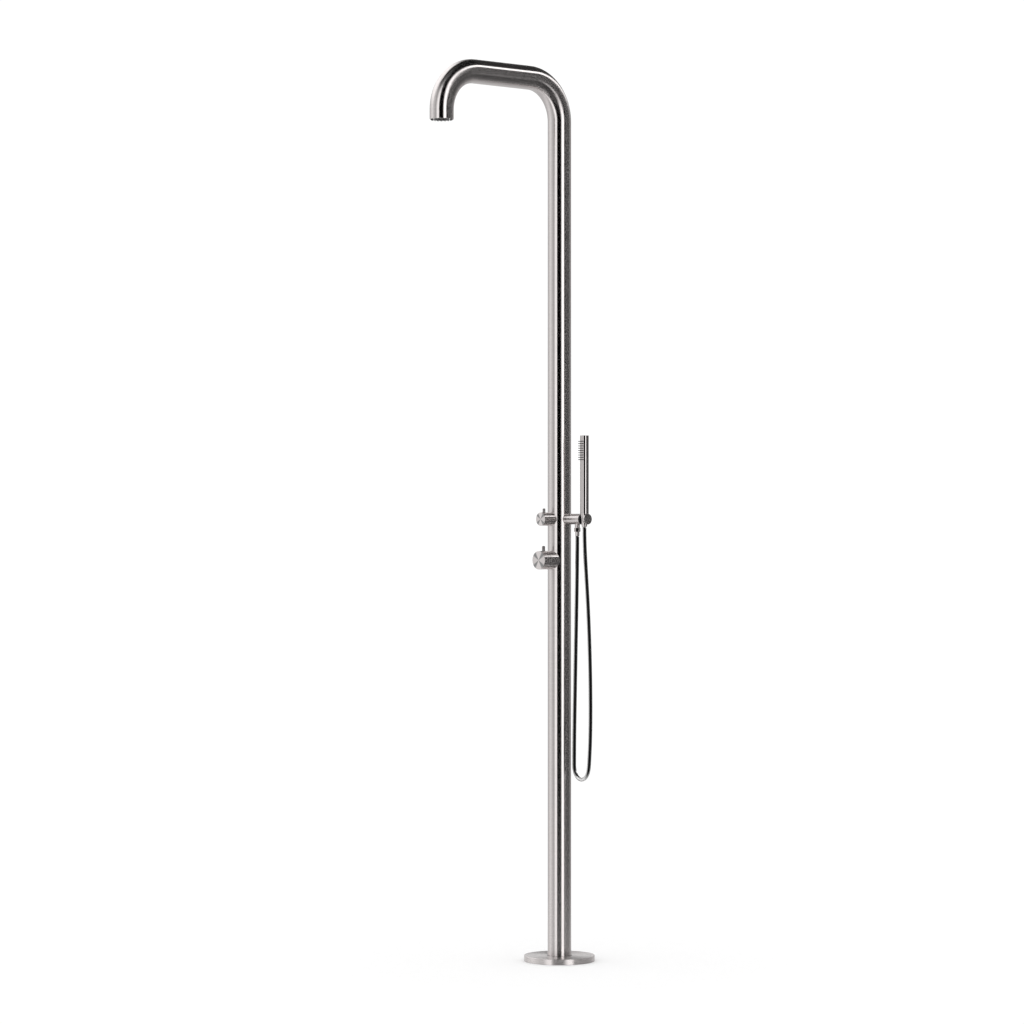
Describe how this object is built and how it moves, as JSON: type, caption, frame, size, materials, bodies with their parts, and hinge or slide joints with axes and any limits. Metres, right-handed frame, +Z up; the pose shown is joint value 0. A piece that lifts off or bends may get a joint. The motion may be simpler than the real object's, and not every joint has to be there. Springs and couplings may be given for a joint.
{
  "type": "outdoor shower post",
  "caption": "Free-standing outdoor shower post of brushed steel tube bent into an overhead arm, with mixer, diverter and a stick hand shower on a hose.",
  "frame": {"origin": "on the floor under the base, on the axis of the post", "axes": "+Z up along the post, -Y towards the overhead outlet and the knobs, +X towards the holder of the hand shower"},
  "size_m": [0.2154, 0.5129, 2.2649],
  "materials": {
    "brushed_steel": "brushed stainless steel, fine grain round the tube",
    "bright_steel": "bright turned metal",
    "plain_steel": "plain mill finish",
    "brass": "machined",
    "pale_plastic": "moulded",
    "dark_plastic": "moulded, satin",
    "black_rubber": "moulded",
    "dark_silicone": "soft, matt",
    "silver_hose": "smooth silver sheath"
  },
  "bodies": {
    "root": {"anchor_plate": "plain_steel", "base_cover": "brushed_steel", "check_valves": "brass", "cold_inlet_coupling": "brass", "cold_supply_pipe": "plain_steel", "column_tube": "brushed_steel", "cover_seal": "black_rubber", "diverter_body": "brass", "diverter_cartridge": "pale_plastic", "diverter_nut": "brass", "diverter_sleeve": "brushed_steel", "head_chamber": "pale_plastic", "head_nozzles": "dark_silicone", "head_plate": "brushed_steel", "holder_bar": "brushed_steel", "holder_liner": "dark_plastic", "hose_ferrule": "bright_steel", "hose_nut": "bright_steel", "hose_washer": "black_rubber", "hot_inlet_coupling": "brass", "hot_supply_pipe": "plain_steel", "inlet_spacer": "pale_plastic", "link_pipe": "plain_steel", "mixer_body": "brass", "mixer_cartridge": "pale_plastic", "mixer_nut": "brass", "mixer_sleeve": "brushed_steel", "outlet_nipple": "brushed_steel", "riser_pipe": "plain_steel", "shower_hose": "silver_hose", "side_pipe": "plain_steel"},
    "mixer_handle": {"mixer_knob": "brushed_steel", "mixer_pin": "brushed_steel", "mixer_grub_screw": "plain_steel", "mixer_stem": "brass"},
    "diverter_handle": {"diverter_knob": "brushed_steel", "diverter_pin": "brushed_steel", "diverter_grub_screw": "plain_steel", "diverter_stem": "brass"},
    "hose_end": {"hose_tail": "bright_steel"},
    "hand_shower": {"cone_nut": "brushed_steel", "cone_washer": "black_rubber", "stick_body": "brushed_steel", "stick_nozzles": "dark_silicone", "stick_inlet": "brass", "stick_core": "pale_plastic"}
  },
  "joints": [
    {"name": "mixer_turn", "type": "hinge", "parent": "root", "child": "mixer_handle", "pos_m": [0, -0.06, 1.018], "axis": [0, -1, 0], "range_deg": [0, 135]},
    {"name": "diverter_turn", "type": "hinge", "parent": "root", "child": "diverter_handle", "pos_m": [0, -0.056, 1.122], "axis": [0, -1, 0], "range_deg": [-90, 0]},
    {"name": "handset_lift", "type": "slide", "parent": "root", "child": "hose_end", "axis": [0, 0, 1], "range_m": [0, 0.06]},
    {"name": "handset_spin", "type": "hinge", "parent": "hose_end", "child": "hand_shower", "pos_m": [0.0935, 0, 1.118], "axis": [0, 0, 1], "continuous": true}
  ]
}
